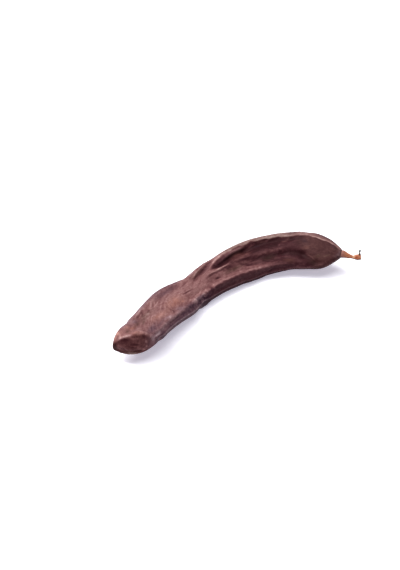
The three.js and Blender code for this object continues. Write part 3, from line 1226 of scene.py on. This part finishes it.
@dataclass(frozen=True)
class UpperMarks:
    """The marks of the pod's upper face, from the blossom end to the neck. Their tones paint shade into
    creases and highlights onto ridges and the outer margin, besides the skin's own patches.
    """

    blossom: tuple[Mark, ...] = (
        Mark(((3.4, 1.2), (5.4, -2.4)), 1.3, tone=-0.05, warm=0.4),
        Mark(((4.4, -3.6), (6.4, -5.8)), 0.6, tone=-0.14),
        Mark(((1.6, 8.2), (3.2, 7.2)), 1.2, tone=0.06, warm=0.5),
        Mark(((3.6, 3.4), (4.8, 4.2)), 0.9, tone=-0.27, olive=0.5),
        Mark(((6.4, 2.4), (8.6, 2.8)), 0.9, tone=-0.12, warm=0.5),
        Mark(((6.2, 5.6), (7.2, 5.4)), 1.0, tone=0.03, warm=0.6),
        Mark(((6.0, 3.2), (7.2, 3.8)), 0.8, tone=-0.1, warm=0.5),
        Mark(((6.0, -3.5), (8.0, 1.0)), 1.2, tone=0.04),
    )
    left: tuple[Mark, ...] = (
        Mark(((9.0, 2.4), (13.0, 3.2)), 1.1, tone=-0.22, olive=0.3),
        Mark(((13.0, 1.6), (18.0, 3.0), (23.0, 2.8)), 1.6, tone=-0.1, olive=0.4),
        Mark(((11.5, 0.2), (14.5, 1.0)), 0.5, tone=-0.12, olive=0.4),
        Mark(((10.5, 5.4), (13.5, 4.4)), 1.2, mauve=0.65),
        Mark(((14.5, 5.9), (18.0, 6.6), (22.0, 7.6)), 0.35, tone=0.14, depth=-0.06),
        Mark(((15.5, 5.1), (19.0, 5.7), (21.5, 6.6)), 0.3, tone=-0.17, depth=0.1),
        Mark(((15.0, 4.0), (18.0, 4.3), (20.0, 5.2)), 0.4, tone=-0.09, depth=0.06),
        Mark(((19.0, 1.8), (23.0, 3.2), (26.0, 5.4)), 0.5, tone=0.12, depth=-0.06),
        Mark(((21.2, 2.9), (23.4, 3.8)), 0.6, tone=-0.27, depth=0.15),
        Mark(((15.5, 0.6), (19.5, 0.9)), 0.3, tone=0.07),
        Mark(((25.0, 4.6), (28.0, 6.2), (31.0, 7.4)), 0.4, tone=0.1, depth=-0.06),
        Mark(((29.5, 4.6), (32.0, 5.8)), 0.4, tone=-0.13, depth=0.1),
        Mark(((26.0, 3.2), (29.5, 4.2), (33.0, 6.6)), 0.35, tone=0.09),
        Mark(((33.0, 7.2), (40.0, 6.6), (47.0, 6.8)), 1.6, tone=-0.17, mauve=0.55),
        Mark(((33.0, 8.6), (39.0, 8.8)), 0.4, tone=0.09),
        Mark(((17.0, -1.6), (23.0, -2.6), (27.5, -3.4)), 1.5, tone=0.1, warm=0.5),
        Mark(((31.0, -1.0), (35.0, -1.4), (40.0, 0.2)), 2.2, tone=0.05, warm=0.6),
        Mark(((38.0, -3.6), (39.5, -4.2)), 0.6, tone=0.1, warm=0.5),
        Mark(((8.0, -5.2), (14.0, -5.8)), 1.5, tone=-0.21, mauve=0.78),
        Mark(((9.0, -3.8), (16.0, -4.2)), 1.0, tone=-0.05, mauve=0.5),
        Mark(((14.0, -6.2), (21.0, -5.6)), 0.9, tone=-0.14, mauve=0.52),
        Mark(((21.5, -5.9), (25.5, -6.6)), 0.9, tone=0.14, mauve=0.65),
        Mark(((27.6, -6.8), (29.6, -5.2), (29.2, -3.2)), 0.35, tone=-0.14, depth=0.12),
        Mark(((30.5, -6.2), (35.5, -6.6)), 1.7, tone=-0.09, mauve=0.65),
        Mark(((36.0, -8.0), (42.0, -7.8)), 1.0, tone=-0.15, mauve=0.4),
        Mark(((28.0, -2.6), (36.0, -3.4), (44.0, -3.2)), 1.6, tone=-0.05, warm=0.2),
        Mark(((41.0, -5.4), (44.0, -6.8)), 0.9, tone=0.1),
        Mark(((21.0, -8.5), (28.5, -8.7)), 0.25, tone=-0.2, depth=0.1),
        Mark(((6.5, -7.4), (10.0, -8.0), (14.0, -8.6)), 0.4, tone=0.2, mauve=0.78),
        Mark(((43.5, -0.7), (47.0, -1.1), (49.5, -1.6)), 0.4, tone=-0.22, depth=0.28),
        Mark(((30.0, 1.4), (34.0, 2.6)), 0.4, tone=-0.07, depth=0.06),
        Mark(((35.0, 3.2), (39.0, 4.6)), 0.4, tone=-0.09, depth=0.08),
        Mark(((40.5, 2.4), (44.0, 3.8)), 0.4, tone=0.07),
        Mark(((46.0, 3.4), (50.0, 4.4), (54.5, 5.0)), 0.5, tone=-0.1, depth=0.1),
        Mark(((50.2, -5.4), (52.6, -4.2)), 0.4, tone=0.12, depth=-0.06),
        Mark(((52.8, -6.4), (55.2, -4.9)), 0.4, tone=0.13, depth=-0.06),
        Mark(((45.0, -7.6), (50.0, -7.6)), 0.6, tone=0.09, mauve=0.78),
    )
    middle: tuple[Mark, ...] = (
        Mark(((55.8, 7.2), (58.6, 7.7)), 0.7, tone=0.16, mauve=0.9),
        Mark(
            ((55.6, 5.0), (57.6, 5.5), (60.0, 6.4), (63.0, 7.5), (66.5, 8.6)),
            0.28, tone=0.15, depth=-0.16,
        ),
        Mark(
            ((56.0, 4.3), (58.5, 4.9), (61.0, 5.6), (64.0, 6.7), (67.0, 7.9), (69.5, 8.3)),
            1.1, tone=-0.24, left=0.4,
        ),
        Mark(((61.5, 3.4), (65.5, 5.4), (68.0, 7.0)), 0.7, tone=0.03, mauve=0.2),
        Mark(
            ((64.4, 2.4), (66.0, 4.2), (67.6, 5.6), (69.6, 6.5), (72.0, 7.2), (76.0, 7.7)),
            0.6, tone=0.13, depth=-0.15,
        ),
        Mark(
            ((66.2, 2.9), (67.4, 4.2), (69.2, 5.5), (72.0, 6.2), (76.0, 6.9), (80.0, 7.6), (86.0, 8.0)),
            1.6, tone=-0.08, left=0.3,
        ),
        Mark(((67.0, 2.6), (71.0, 3.4), (76.0, 3.8)), 1.3, tone=-0.06),
        Mark(((70.5, 4.7), (75.0, 6.0), (80.0, 7.1), (86.0, 7.8)), 1.0, depth=-0.95, tone=0.24, mauve=0.3),
        Mark(((60.8, 1.4), (63.8, 2.0)), 0.6, tone=0.07),
        Mark(
            ((62.0, 1.0), (66.0, 0.7), (69.0, 0.9), (72.0, 0.9), (75.6, 1.4)),
            0.28, tone=0.2, depth=-0.16,
        ),
        Mark(((59.5, -0.6), (62.0, -0.3), (64.5, 0.1), (66.5, -0.1)), 0.55, tone=-0.27, depth=0.14),
        Mark(((66.0, -0.4), (70.0, 0.1), (75.8, 0.5)), 0.5, tone=-0.18, depth=0.12, left=0.25),
        Mark(((70.8, -0.8), (75.8, -0.8)), 1.1, tone=-0.4),
        Mark(((70.5, -2.4), (74.0, -2.9), (79.5, -2.4)), 1.1, tone=-0.22, olive=0.5),
        Mark(((63.4, -2.8), (65.8, -3.1)), 0.6, tone=-0.34, depth=0.28),
        Mark(((58.5, -4.6), (68.0, -5.2), (77.0, -5.4)), 1.5, tone=0.03),
        Mark(((59.0, -6.4), (60.0, -4.8)), 0.45, tone=0.11, depth=-0.05),
        Mark(((62.4, -6.4), (63.2, -4.6)), 0.4, tone=-0.08, depth=0.06),
        Mark(((65.4, -6.4), (66.2, -4.8)), 0.5, tone=0.08, depth=-0.05),
        Mark(((71.0, -6.2), (72.0, -4.4)), 0.5, tone=-0.08, depth=0.06),
        Mark(((76.0, -6.6), (76.9, -4.8)), 0.5, tone=0.15, depth=-0.06),
        Mark(((79.6, -6.6), (80.6, -4.4)), 0.5, tone=-0.08, depth=0.06),
        Mark(((57.2, -7.6), (57.3, -5.8)), 0.8, tone=-0.36, depth=0.3),
        Mark(((80.4, -1.8), (82.4, -3.0), (84.6, -3.8), (86.8, -4.3)), 0.85, tone=-0.3, depth=0.24),
        Mark(((76.5, 0.5), (80.0, 0.0), (85.0, 0.0)), 0.65, tone=-0.24, depth=0.1),
        Mark(((80.0, -6.2), (86.0, -6.4), (91.0, -6.2)), 1.6, tone=0.05),
        Mark(((78.0, 1.6), (82.0, 1.2), (86.0, 1.0)), 0.8, tone=0.08),
    )
    right: tuple[Mark, ...] = (
        Mark(
            ((84.0, -0.5), (90.0, -1.4), (94.0, -2.3), (98.0, -2.0), (102.0, -1.4), (106.0, -1.2)),
            0.8, tone=-0.16, depth=-0.15,
        ),
        Mark(
            ((106.0, -1.4), (110.0, -2.4), (113.0, -4.2), (115.6, -6.4), (118.6, -8.2)),
            1.7, tone=-0.23, depth=0.14,
        ),
        Mark(((92.0, -3.2), (98.0, -3.0)), 1.3, tone=-0.1, olive=0.6),
        Mark(((91.4, -3.9), (93.0, -4.7), (94.8, -5.3)), 0.35, tone=-0.15, depth=0.2),
        Mark(((100.5, -6.4), (105.0, -5.8)), 1.0, tone=-0.06),
        Mark(((95.0, -8.2), (100.0, -8.4), (106.0, -8.7)), 0.35, tone=0.12),
        Mark(((103.5, -7.6), (108.0, -7.5)), 0.6, tone=-0.14),
        Mark(((103.0, -6.6), (109.0, -7.0)), 1.3, tone=-0.1, warm=0.15),
        Mark(((112.0, -8.6), (115.0, -8.6)), 0.3, tone=0.14),
        Mark(((103.0, -4.6), (108.0, -4.8)), 0.6, tone=0.07),
        Mark(((85.0, 2.6), (87.0, 4.4)), 1.0, tone=0.08),
        Mark(((70.0, 6.4), (78.0, 7.4), (86.0, 7.6), (95.0, 7.4), (105.0, 6.9)), 0.8, tone=0.12, taper=0.3),
        Mark(((88.0, 2.8), (100.0, 3.0), (112.0, 2.6)), 1.8, tone=-0.06),
        Mark(((101.5, 5.4), (112.0, 5.2)), 1.4, tone=-0.11),
        Mark(((78.0, -3.0), (88.0, -3.4), (96.0, -4.6)), 1.6, tone=-0.08),
        Mark(((78.0, -5.8), (92.0, -6.2)), 1.4, tone=-0.08),
        Mark(((69.0, -0.6), (78.0, -0.8), (86.0, -0.6)), 1.2, tone=-0.05),
        Mark(((77.0, 7.7), (82.0, 7.9), (88.0, 7.9)), 0.7, tone=0.2),
        Mark(((79.0, 4.8), (83.0, 5.4), (87.0, 5.2)), 1.2, tone=0.12, warm=0.15),
        Mark(((78.0, 2.4), (83.0, 2.8), (87.0, 2.6)), 1.2, tone=0.1, warm=0.15),
        Mark(((94.0, -3.4), (102.0, -4.4), (112.0, -3.8)), 1.5, tone=-0.04),
        Mark(((84.6, 6.0), (88.0, 6.4), (91.5, 7.0)), 0.3, tone=0.2, depth=-0.1),
        Mark(((93.0, 6.9), (97.0, 7.0)), 0.35, tone=0.24, olive=0.3),
        Mark(((80.5, 8.3), (85.5, 8.3)), 0.35, tone=-0.1),
        Mark(((88.0, 3.6), (91.0, 3.4)), 1.2, tone=-0.05),
        Mark(((96.5, 5.0), (100.0, 5.6)), 0.9, tone=-0.06),
        Mark(((91.0, 5.6), (93.0, 5.4)), 0.6, tone=0.06, mauve=0.6),
        Mark(((90.0, 0.0), (96.0, -0.4), (102.0, 0.7)), 0.9, tone=0.14),
        Mark(((101.2, 2.0), (101.8, 3.0)), 0.5, tone=0.26),
        Mark(((102.6, 3.8), (104.2, 4.6), (106.0, 6.0)), 0.9, tone=0.26, depth=-0.12, olive=0.3),
        Mark(((103.0, 1.6), (105.5, 3.6)), 0.7, tone=-0.05),
        Mark(((112.5, 2.4), (113.6, 1.2), (115.4, 0.9), (117.4, 1.8)), 0.4, tone=0.08, depth=-0.05),
        Mark(((113.2, 0.4), (116.0, 0.0)), 0.6, tone=0.04, warm=0.15),
        Mark(((114.8, -2.9), (117.0, -4.2), (119.6, -6.0)), 0.3, tone=0.17, depth=-0.08),
        Mark(((117.0, -6.6), (120.6, -8.0)), 1.2, tone=-0.18, olive=0.3),
        Mark(((112.0, 4.6), (114.5, 3.2)), 0.9, tone=-0.07, mauve=0.7),
        Mark(((110.5, 6.6), (113.0, 6.7)), 0.4, tone=-0.08),
        Mark(((123.5, -4.2), (127.0, -2.4)), 0.3, tone=0.06, olive=0.5),
        Mark(((120.0, -4.4), (122.0, -3.6)), 0.8, tone=0.04, olive=0.5),
        Mark(((126.0, 3.2), (129.0, 0.6)), 0.8, mauve=0.7),
        Mark(((128.0, 1.6), (129.0, 0.8)), 0.5, tone=-0.07, olive=0.6),
        Mark(((128.8, -3.2), (130.8, -1.2), (130.6, 1.2)), 1.0, tone=0.22, mauve=0.8),
    )
    margin: tuple[Mark, ...] = (
        Mark(
            ((74.0, 8.1), (80.0, 8.7), (86.0, 8.6), (96.0, 8.3), (104.0, 7.6), (108.0, 7.3), (114.0, 7.1)),
            0.32, tone=0.07, depth=-0.08, taper=0.3,
        ),
        Mark(
            ((114.0, 7.1), (118.0, 6.3), (121.0, 5.3), (124.5, 4.4), (128.0, 2.9)),
            0.35, tone=0.22, depth=-0.08, taper=0.3,
        ),
        Mark(((104.5, 9.6), (109.0, 9.0)), 1.0, tone=-0.2, mauve=0.5),
        Mark(((111.5, 8.6), (115.0, 8.2)), 0.8, tone=0.08),
        Mark(((118.0, 8.0), (122.5, 6.8), (126.0, 5.4), (129.0, 3.6)), 0.5, tone=-0.16, mauve=0.9),
    )

    def add_to(self, sums: dict[str, np.ndarray], skin: SkinPlaces) -> None:
        """Adds the marks to the sums of all marks.

        Args:
            sums: The sums, by the names of a mark's own fields.
            skin: Where the points lie.
        """
        for mark in (*self.blossom, *self.left, *self.middle, *self.right, *self.margin):
            mark.add(sums, mark.strength(skin.along, skin.across) * skin.on_top)


@dataclass
class Pod:
    """The pod: margins, folds, wrinkles and the steep face at its blossom end."""

    levels: int = 2
    line: MiddleLine = MiddleLine()
    inner_rim: Rim = Rim(
        side=-1.0,
        seed=52.0,
        soft=Course(0.7, ((-0.4, 46.0, 60.0),)),
        along=(0.0, 12.0, 40.0, 48.0, 57.0, 75.0, 85.0, 105.0, 125.0),
        across=(-7.2, -8.6, -8.8, -7.7, -7.2, -7.5, -8.5, -9.1, -8.4),
    )
    outer_rim: Rim = Rim(
        side=1.0,
        seed=51.0,
        soft=Course(0.8, ((-0.5, 58.0, 68.0),)),
        along=(
            0.0, 56.0, 60.0, 66.0, 69.0, 75.0, 80.0, 86.0, 95.0,
            105.0, 111.0, 115.0, 118.0, 121.0, 124.0, 127.0, 130.0,
        ),
        across=(9.0, 8.2, 8.4, 8.6, 8.2, 7.8, 8.4, 8.4, 8.0, 7.2, 6.8, 6.7, 6.0, 5.0, 4.2, 3.1, 1.3),
    )
    end_slant: float = 0.8
    end_span: Span = (109.0, 116.0)
    wrinkles: Wrinkles = Wrinkles()
    crumbly: CrumblyRim = CrumblyRim()
    rib: SeamRib = SeamRib()
    shades: SkinShades = SkinShades()
    steep_face: SteepFace = SteepFace()
    marks: UpperMarks = UpperMarks()
    margin_swell: Course = Course(0.55, ((-0.7, 66.0, 80.0), (0.7, 96.0, 108.0)))
    swell_until: Span = (96.0, 108.0)
    swell_edge: Span = (0.75, 1.0)
    neck_lift: float = 0.55
    neck_span: Span = (120.0, 130.0)
    hollow_rounds: int = 8
    hollow_depth: float = 0.12

    def _zones(self, skin: SkinPlaces) -> Zones:
        """Finds the parts of the pod that each point belongs to.

        Args:
            skin: Where the points lie.

        Returns:
            The shares of each point.
        """
        return Zones(
            edge=skin.edge(),
            margin=self.outer_rim.beyond(skin),
            side=self.inner_rim.beyond(skin) * (skin.across < 0.0),
            end=smooth_step(skin.along + self.end_slant * skin.across, *self.end_span),
        )

    def _relief(self, skin: SkinPlaces, edge: np.ndarray) -> np.ndarray:
        """How far the skin stands out: its wrinkles, the inner side's crumbs and rib, and the outer margin.

        Args:
            skin: Where the points lie.
            edge: Their share of the half width.

        Returns:
            The height of each point, in millimetres.
        """
        swell = self.margin_swell.at(skin.along) * (1.0 - smooth_step(skin.along, *self.swell_until))
        swell *= smooth_step(edge, *self.swell_edge) * (skin.across > 0.0)
        return self.wrinkles.height(skin, edge) + self.crumbly.height(skin) + self.rib.height(skin) + swell

    def _sums(self, skin: SkinPlaces, zones: Zones) -> dict[str, np.ndarray]:
        """Starts the sums that the marks are added to.

        Args:
            skin: Where the points lie.
            zones: The parts of the pod that they belong to.

        Returns:
            The tone, the depth and the shares of the other colours, for each point.
        """
        # The tone starts with the painted shade of the skin and the steep face, and the painted light and
        # shade of the crumbly rim.
        tone = self.shades.tone(skin, zones, self.rib) + self.crumbly.tone(skin)
        return {
            "tone": mixed(tone, self.steep_face.tone, self.steep_face.share(skin)),
            "depth": np.zeros(len(tone)),
            "warm": np.zeros(len(tone)),
            "mauve": self.shades.mauve(skin, zones),
            "olive": self.shades.olive(skin, zones),
        }

    def build(self) -> bpy.types.Object:
        """Makes the pod.

        Returns:
            The finished pod.
        """
        piece = Piece("pod", "carob_pod", "pod_skin")
        piece.subdivide(self.levels)
        places, normal = piece.read("co") / MM, piece.read("normal")
        laid, ahead = self.line.lay_out(places)
        skin = SkinPlaces(*laid.T, facing=normal[:, 2], forward=(normal * ahead).sum(axis=1))
        zones = self._zones(skin)
        sums = self._sums(skin, zones)
        # The marks add painted highlights on ridges and painted shade in creases and pits, besides the skin's
        # own patches.
        self.marks.add_to(sums, skin)
        self.steep_face.add_marks(sums, skin, places, normal)
        piece.push_out(self._relief(skin, zones.edge) - sums["depth"])
        piece.move(UP * self.neck_lift * smooth_step(skin.along, *self.neck_span)[:, None])
        piece.note("laid", skin.rows)
        piece.note("grain_run", self.wrinkles.straight(skin))
        hollow = piece.hollowness(self.hollow_rounds, self.hollow_depth)
        # The skin's material paints shade into these hollows.
        piece.note("fine_hollow", np.clip(hollow, -1.0, 1.0))
        for name in ("tone", "warm", "mauve", "olive"):
            piece.note(name, np.clip(sums[name], 0.0, 1.0))
        return piece.finish(PodSkin().material())


@dataclass
class Stalk:
    """The stalk: ribbed bark, a flared foot on the pod, a knob with a round scar, and a flat cut end."""

    levels: int = 2
    drop: float = 0.8
    scar_place: Triple = (62.4, -19.9, 9.0)
    scar_width: float = 0.6
    scar_depth: float = 0.2
    scar_strength: float = 1.2
    bark_rise: float = 0.04
    bark_stretch: Triple = (0.35, 1.6, 1.6)
    bark_seed: float = 3.0
    foot_length: float = 1.0
    foot_reach: float = 0.9
    foot_flare: float = 0.25
    flare_length: float = 4.5
    lift: float = 0.3
    foot_lift: float = 0.3
    neck_span: Span = (-0.6, 2.2)
    waist_at: float = 0.6
    waist_width: float = 0.07
    rim_share: Span = (0.93, 0.98)
    rim_facing: Span = (-0.3, 0.3)
    upper_facing: Span = (-0.2, 0.9)
    under_facing: Span = (-0.4, 0.4)
    # Painted shade on the underside of the stalk.
    under_painted_shade: float = 0.95
    # Painted light on the upper side.
    pale_all: float = 0.05
    upper_painted_light: float = 0.2
    pale_waist: float = 0.7
    pale_rim: float = 0.8
    hollow_rounds: int = 6
    hollow_depth: float = 0.12

    def _pale(self, share: np.ndarray, facing: np.ndarray) -> np.ndarray:
        """How pale the bark is, with light painted on its upper side.

        Args:
            share: How far along the stalk each point lies, from 0 to 1.
            facing: How far it looks up, from -1 to 1.

        Returns:
            From 0, orange, to 1, tan.
        """
        # Painted light: the upper side is paler.
        upper = self.upper_painted_light * smooth_step(facing, *self.upper_facing)
        waist = self.pale_waist * bell(share - self.waist_at, self.waist_width)
        rim = self.pale_rim * smooth_step(share, *self.rim_share) * smooth_step(facing, *self.rim_facing)
        return np.clip(self.pale_all + upper + waist + rim, 0.0, 1.0)

    def build(self) -> bpy.types.Object:
        """Makes the stalk.

        Returns:
            The finished stalk.
        """
        piece = Piece("stalk", "carob_stalk", "stalk_wood")
        piece.subdivide(self.levels)
        places, normal = piece.read("co") / MM, piece.read("normal")
        facing = normal[:, 2]
        low, high = (np.array(corner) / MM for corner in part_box("stalk"))
        run = np.array([high[0] - low[0], low[1] - high[1], -self.drop])
        run /= np.linalg.norm(run)
        along = (places - 0.5 * (low + high)) @ run
        along -= along.min()
        laid = np.stack([along, places @ np.cross(UP, run), places[:, 2]], axis=1)
        bark = grain_at(laid * self.bark_stretch, Grain.RIDGED, self.bark_seed) * self.bark_rise
        scar = bell(np.linalg.norm(places - self.scar_place, axis=1), self.scar_width)
        foot = 1.0 - smooth_step(along, 0.0, self.foot_length)
        flare = 1.0 - smooth_step(along, 0.0, self.flare_length)
        piece.push_out(bark - self.scar_depth * scar + self.foot_flare * flare)
        piece.move(UP * (self.lift + self.foot_lift * flare)[:, None] - foot[:, None] * run * self.foot_reach)
        piece.note("laid", laid)
        # The bark's material paints shade into these hollows.
        piece.note("fine_hollow", piece.hollowness(self.hollow_rounds, self.hollow_depth))
        piece.note("scar", np.clip(scar * self.scar_strength, 0.0, 1.0))
        piece.note("neck", 1.0 - smooth_step(along, *self.neck_span))
        # Pale waist and rim, and painted light on the upper side.
        piece.note("pale", self._pale(along / along.max(), facing))
        # Painted shade on the underside.
        piece.note("under", self.under_painted_shade * (1.0 - smooth_step(facing, *self.under_facing)))
        return piece.finish(StalkBark().material())


@dataclass
class Spur:
    """The dry spur on the stalk's cut end: a dark bulb on a narrow waist, and a wider foot."""

    levels: int = 2
    bark_rise: float = 0.04
    bark_scale: float = 2.2
    bark_seed: float = 5.0
    foot_drop: float = 0.75
    foot_shift: Span = (-0.25, 0.1)
    shift: Triple = (-0.39, 0.14, -0.3)
    heights: Row = (0.0, 0.2, 0.42, 0.52, 0.62, 0.8, 1.0)
    girths: Row = (1.45, 1.5, 1.1, 0.62, 0.9, 1.1, 0.85)
    waist_at: float = 0.52
    waist_width: float = 0.09
    waist_pale: float = 0.9

    def build(self) -> bpy.types.Object:
        """Makes the spur.

        Returns:
            The finished spur.
        """
        piece = Piece("stalk_spur", "carob_spur", "spur_wood")
        piece.subdivide(self.levels)
        places = piece.read("co") / MM
        low, high = places[:, 2].min(), places[:, 2].max()
        height = (places[:, 2] - low) / (high - low)
        foot = 1.0 - height
        middle = places[:, :2].mean(axis=0)
        girth = np.interp(height, self.heights, self.girths)[:, None]
        moved = places.copy()
        moved[:, :2] = middle + (places[:, :2] - middle) * girth + foot[:, None] * self.foot_shift
        moved[:, 2] -= self.foot_drop * foot
        moved += self.shift
        piece.move(moved - places)
        bark = grain_at(moved * self.bark_scale, Grain.RIDGED, self.bark_seed)
        piece.push_out(bark * self.bark_rise)
        piece.note("laid", moved[:, [2, 0, 1]])
        piece.note("height", height)
        piece.note("waist", self.waist_pale * bell(height - self.waist_at, self.waist_width))
        return piece.finish(DeadWood().material())


@dataclass(frozen=True)
class SoftBox:
    """A large soft lamp that looks at the pod."""

    name: str
    place: Triple
    width: float
    power: float

    def build(self, target: Vector) -> None:
        """Makes the lamp.

        Args:
            target: Where it looks.
        """
        lamp = bpy.data.lights.new(self.name, "AREA")
        lamp.shape = "SQUARE"
        lamp.size = self.width
        lamp.energy = self.power
        holder = bpy.data.objects.new(self.name, lamp)
        holder.location = self.place
        holder.rotation_euler = (target - Vector(self.place)).to_track_quat("-Z", "Y").to_euler()
        bpy.context.scene.collection.objects.link(holder)
        LOG.info("%s at %s", self.name, self.place)


@dataclass(frozen=True)
class Studio:
    """The floor, the lamps and the camera."""

    floor_size: float = 6.0
    look_at: Triple = (-5.6 * MM, 12.0 * MM, 0.0)
    azimuth: float = -32.3
    elevation: float = 40.0
    distance: float = 0.6
    lens: float = 79.8
    nearest: float = 0.01
    sky: float = 0.25
    lamps: tuple[SoftBox, ...] = (
        SoftBox("back_softbox", (-0.3, 0.65, 1.05), 0.9, 24.0),
        SoftBox("top_softbox", (0.0, 0.15, 1.3), 1.2, 16.0),
    )

    def build(self) -> None:
        """Makes the floor, the sky, the lamps and the camera."""
        bpy.ops.object.select_all(action="DESELECT")
        bpy.ops.mesh.primitive_plane_add(size=self.floor_size)
        floor = bpy.context.object
        floor.name = "floor"
        floor.data.materials.append(PaleFloor().material())
        world = bpy.data.worlds.new("sky")
        world.use_nodes = True
        world.node_tree.nodes["Background"].inputs["Color"].default_value = (1.0, 1.0, 1.0, 1.0)
        world.node_tree.nodes["Background"].inputs["Strength"].default_value = self.sky
        bpy.context.scene.world = world
        target = Vector(self.look_at)
        for lamp in self.lamps:
            lamp.build(target)
        self._camera(target)
        bpy.context.scene.view_settings.view_transform = "Standard"

    def _camera(self, target: Vector) -> None:
        """Sets the camera at the photograph's angle.

        Args:
            target: The point at the middle of the picture.
        """
        turn, rise = math.radians(self.azimuth), math.radians(self.elevation)
        back = Vector((math.sin(turn) * math.cos(rise), -math.cos(turn) * math.cos(rise), math.sin(rise)))
        camera = bpy.data.objects.new("camera", bpy.data.cameras.new("camera"))
        camera.data.lens = self.lens
        camera.data.clip_start = self.nearest
        camera.location = target + back * self.distance
        camera.rotation_euler = (-back).to_track_quat("-Z", "Y").to_euler()
        bpy.context.scene.collection.objects.link(camera)
        bpy.context.scene.camera = camera


def main() -> None:
    """Builds the studio and the pod's pieces."""
    logging.basicConfig(level=logging.INFO, format="%(message)s")
    Studio().build()
    for part in (Pod(), Stalk(), Spur()):
        part.build()


if __name__ == "__main__":
    main()
